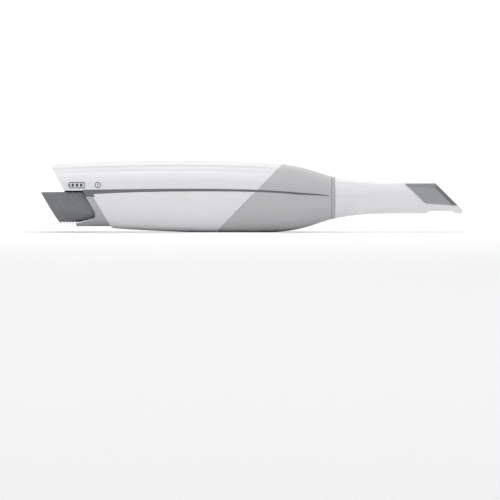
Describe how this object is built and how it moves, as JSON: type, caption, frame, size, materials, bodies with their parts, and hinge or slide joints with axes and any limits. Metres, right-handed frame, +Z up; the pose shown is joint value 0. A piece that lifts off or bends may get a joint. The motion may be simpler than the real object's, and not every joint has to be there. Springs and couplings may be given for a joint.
{
  "type": "intraoral camera",
  "caption": "Wireless handheld intraoral scanning camera with a slip-on mirror tip, a plug-in battery grip, a scan button and a focusing optical train.",
  "frame": {"origin": "middle of the overall length and width, on the plane that the belly rests on", "axes": "+X along the optical axis towards the scanning tip, +Z up towards the scan button, +Y to the left side"},
  "size_m": [0.2738, 0.0417, 0.0471],
  "materials": {
    "white_shell": "moulded, light polish",
    "grey_nose": "moulded satin",
    "grey_bezel": "moulded satin",
    "dark_trim": "moulded satin",
    "grip_rubber": "ribbed, matt",
    "tip_plastic": "moulded, autoclavable, light polish",
    "cap_plastic": "moulded, polished",
    "mirror_glass": "first-surface mirror",
    "optical_glass": "polished and coated",
    "black_anodised": "black anodised",
    "cast_aluminium": "die cast",
    "turned_steel": "ground",
    "gold_contact": "gold plated",
    "copper_coil": "enamelled winding",
    "circuit_board": "solder mask",
    "chip_epoxy": "moulded epoxy",
    "ribbon_film": "polyimide film",
    "silicone": "moulded",
    "light_guide": "frosted clear",
    "case_plastic": "moulded",
    "cell_sleeve": "shrink sleeve"
  },
  "bodies": {
    "handle": {"top_shell": "white_shell", "bottom_shell": "white_shell", "nose_cover": "grey_nose", "side_trim_left": "dark_trim", "side_trim_right": "dark_trim", "tip_seat_collar": "grey_bezel", "tip_seal_ring": "silicone", "tip_detent_balls": "turned_steel", "status_ring": "light_guide", "button_seal": "silicone", "button_switch": "chip_epoxy", "bay_liner": "grey_bezel", "bay_roof": "dark_trim", "bay_contacts": "gold_contact", "bay_latch_spring": "turned_steel", "chassis": "cast_aluminium", "guide_rods": "turned_steel", "counterweight_rods": "turned_steel", "main_board": "circuit_board", "board_screws": "turned_steel", "board_chips": "chip_epoxy", "shield_can": "turned_steel", "antenna": "chip_epoxy", "sensor_flex": "ribbon_film", "power_flex": "ribbon_film", "snout_tube": "black_anodised", "snout_screws": "turned_steel", "snout_window": "optical_glass", "relay_lenses": "optical_glass", "lens_spacer": "black_anodised", "voice_coil_magnet": "turned_steel", "magnet_yoke": "turned_steel", "pinion_axle": "turned_steel", "pinion_cage": "cast_aluminium", "splitter_mount": "black_anodised", "beam_splitter": "optical_glass", "light_board": "circuit_board", "light_source": "light_guide", "light_lens": "optical_glass", "pattern_grid": "optical_glass", "light_heat_sink": "black_anodised", "imaging_barrel": "black_anodised", "imaging_lenses": "optical_glass", "image_sensor": "chip_epoxy", "sensor_board": "circuit_board", "sensor_heat_sink": "black_anodised"},
    "tip": {"tip_shell": "tip_plastic", "mirror_cap": "cap_plastic", "tip_mirror": "mirror_glass", "mirror_heater": "ribbon_film"},
    "battery": {"battery_case": "case_plastic", "battery_grip": "grip_rubber", "battery_cells": "cell_sleeve", "battery_contacts": "gold_contact"},
    "button": {"scan_button": "white_shell"},
    "focus": {"focus_carriage": "case_plastic", "focus_lens": "optical_glass", "voice_coil": "copper_coil"},
    "balance": {"counterweight": "turned_steel"},
    "pinion": {"focus_pinion": "case_plastic"}
  },
  "joints": [
    {"name": "tip_pull", "type": "slide", "parent": "handle", "child": "tip", "axis": [1, 0, 0], "range_m": [0, 0.05]},
    {"name": "battery_slide", "type": "slide", "parent": "handle", "child": "battery", "axis": [-1, 0, 0], "range_m": [0, 0.07]},
    {"name": "button_press", "type": "slide", "parent": "handle", "child": "button", "axis": [0, 0, -1], "range_m": [0, 0.0006], "stiffness_N_per_m": 1500},
    {"name": "focus_slide", "type": "slide", "parent": "handle", "child": "focus", "axis": [1, 0, 0], "range_m": [-0.0025, 0.0025]},
    {"name": "counterweight_slide", "type": "slide", "parent": "handle", "child": "balance", "axis": [1, 0, 0], "range_m": [-0.0025, 0.0025]},
    {"name": "pinion_spin", "type": "hinge", "parent": "handle", "child": "pinion", "pos_m": [0.018, 0, 0.0341], "axis": [0, -1, 0], "range_deg": [-40, 40]}
  ],
  "couplings": [
    {"joint": "counterweight_slide", "follows": "focus_slide", "ratio": -1},
    {"joint": "pinion_spin", "follows": "focus_slide", "rad_per_m": 277.78}
  ]
}
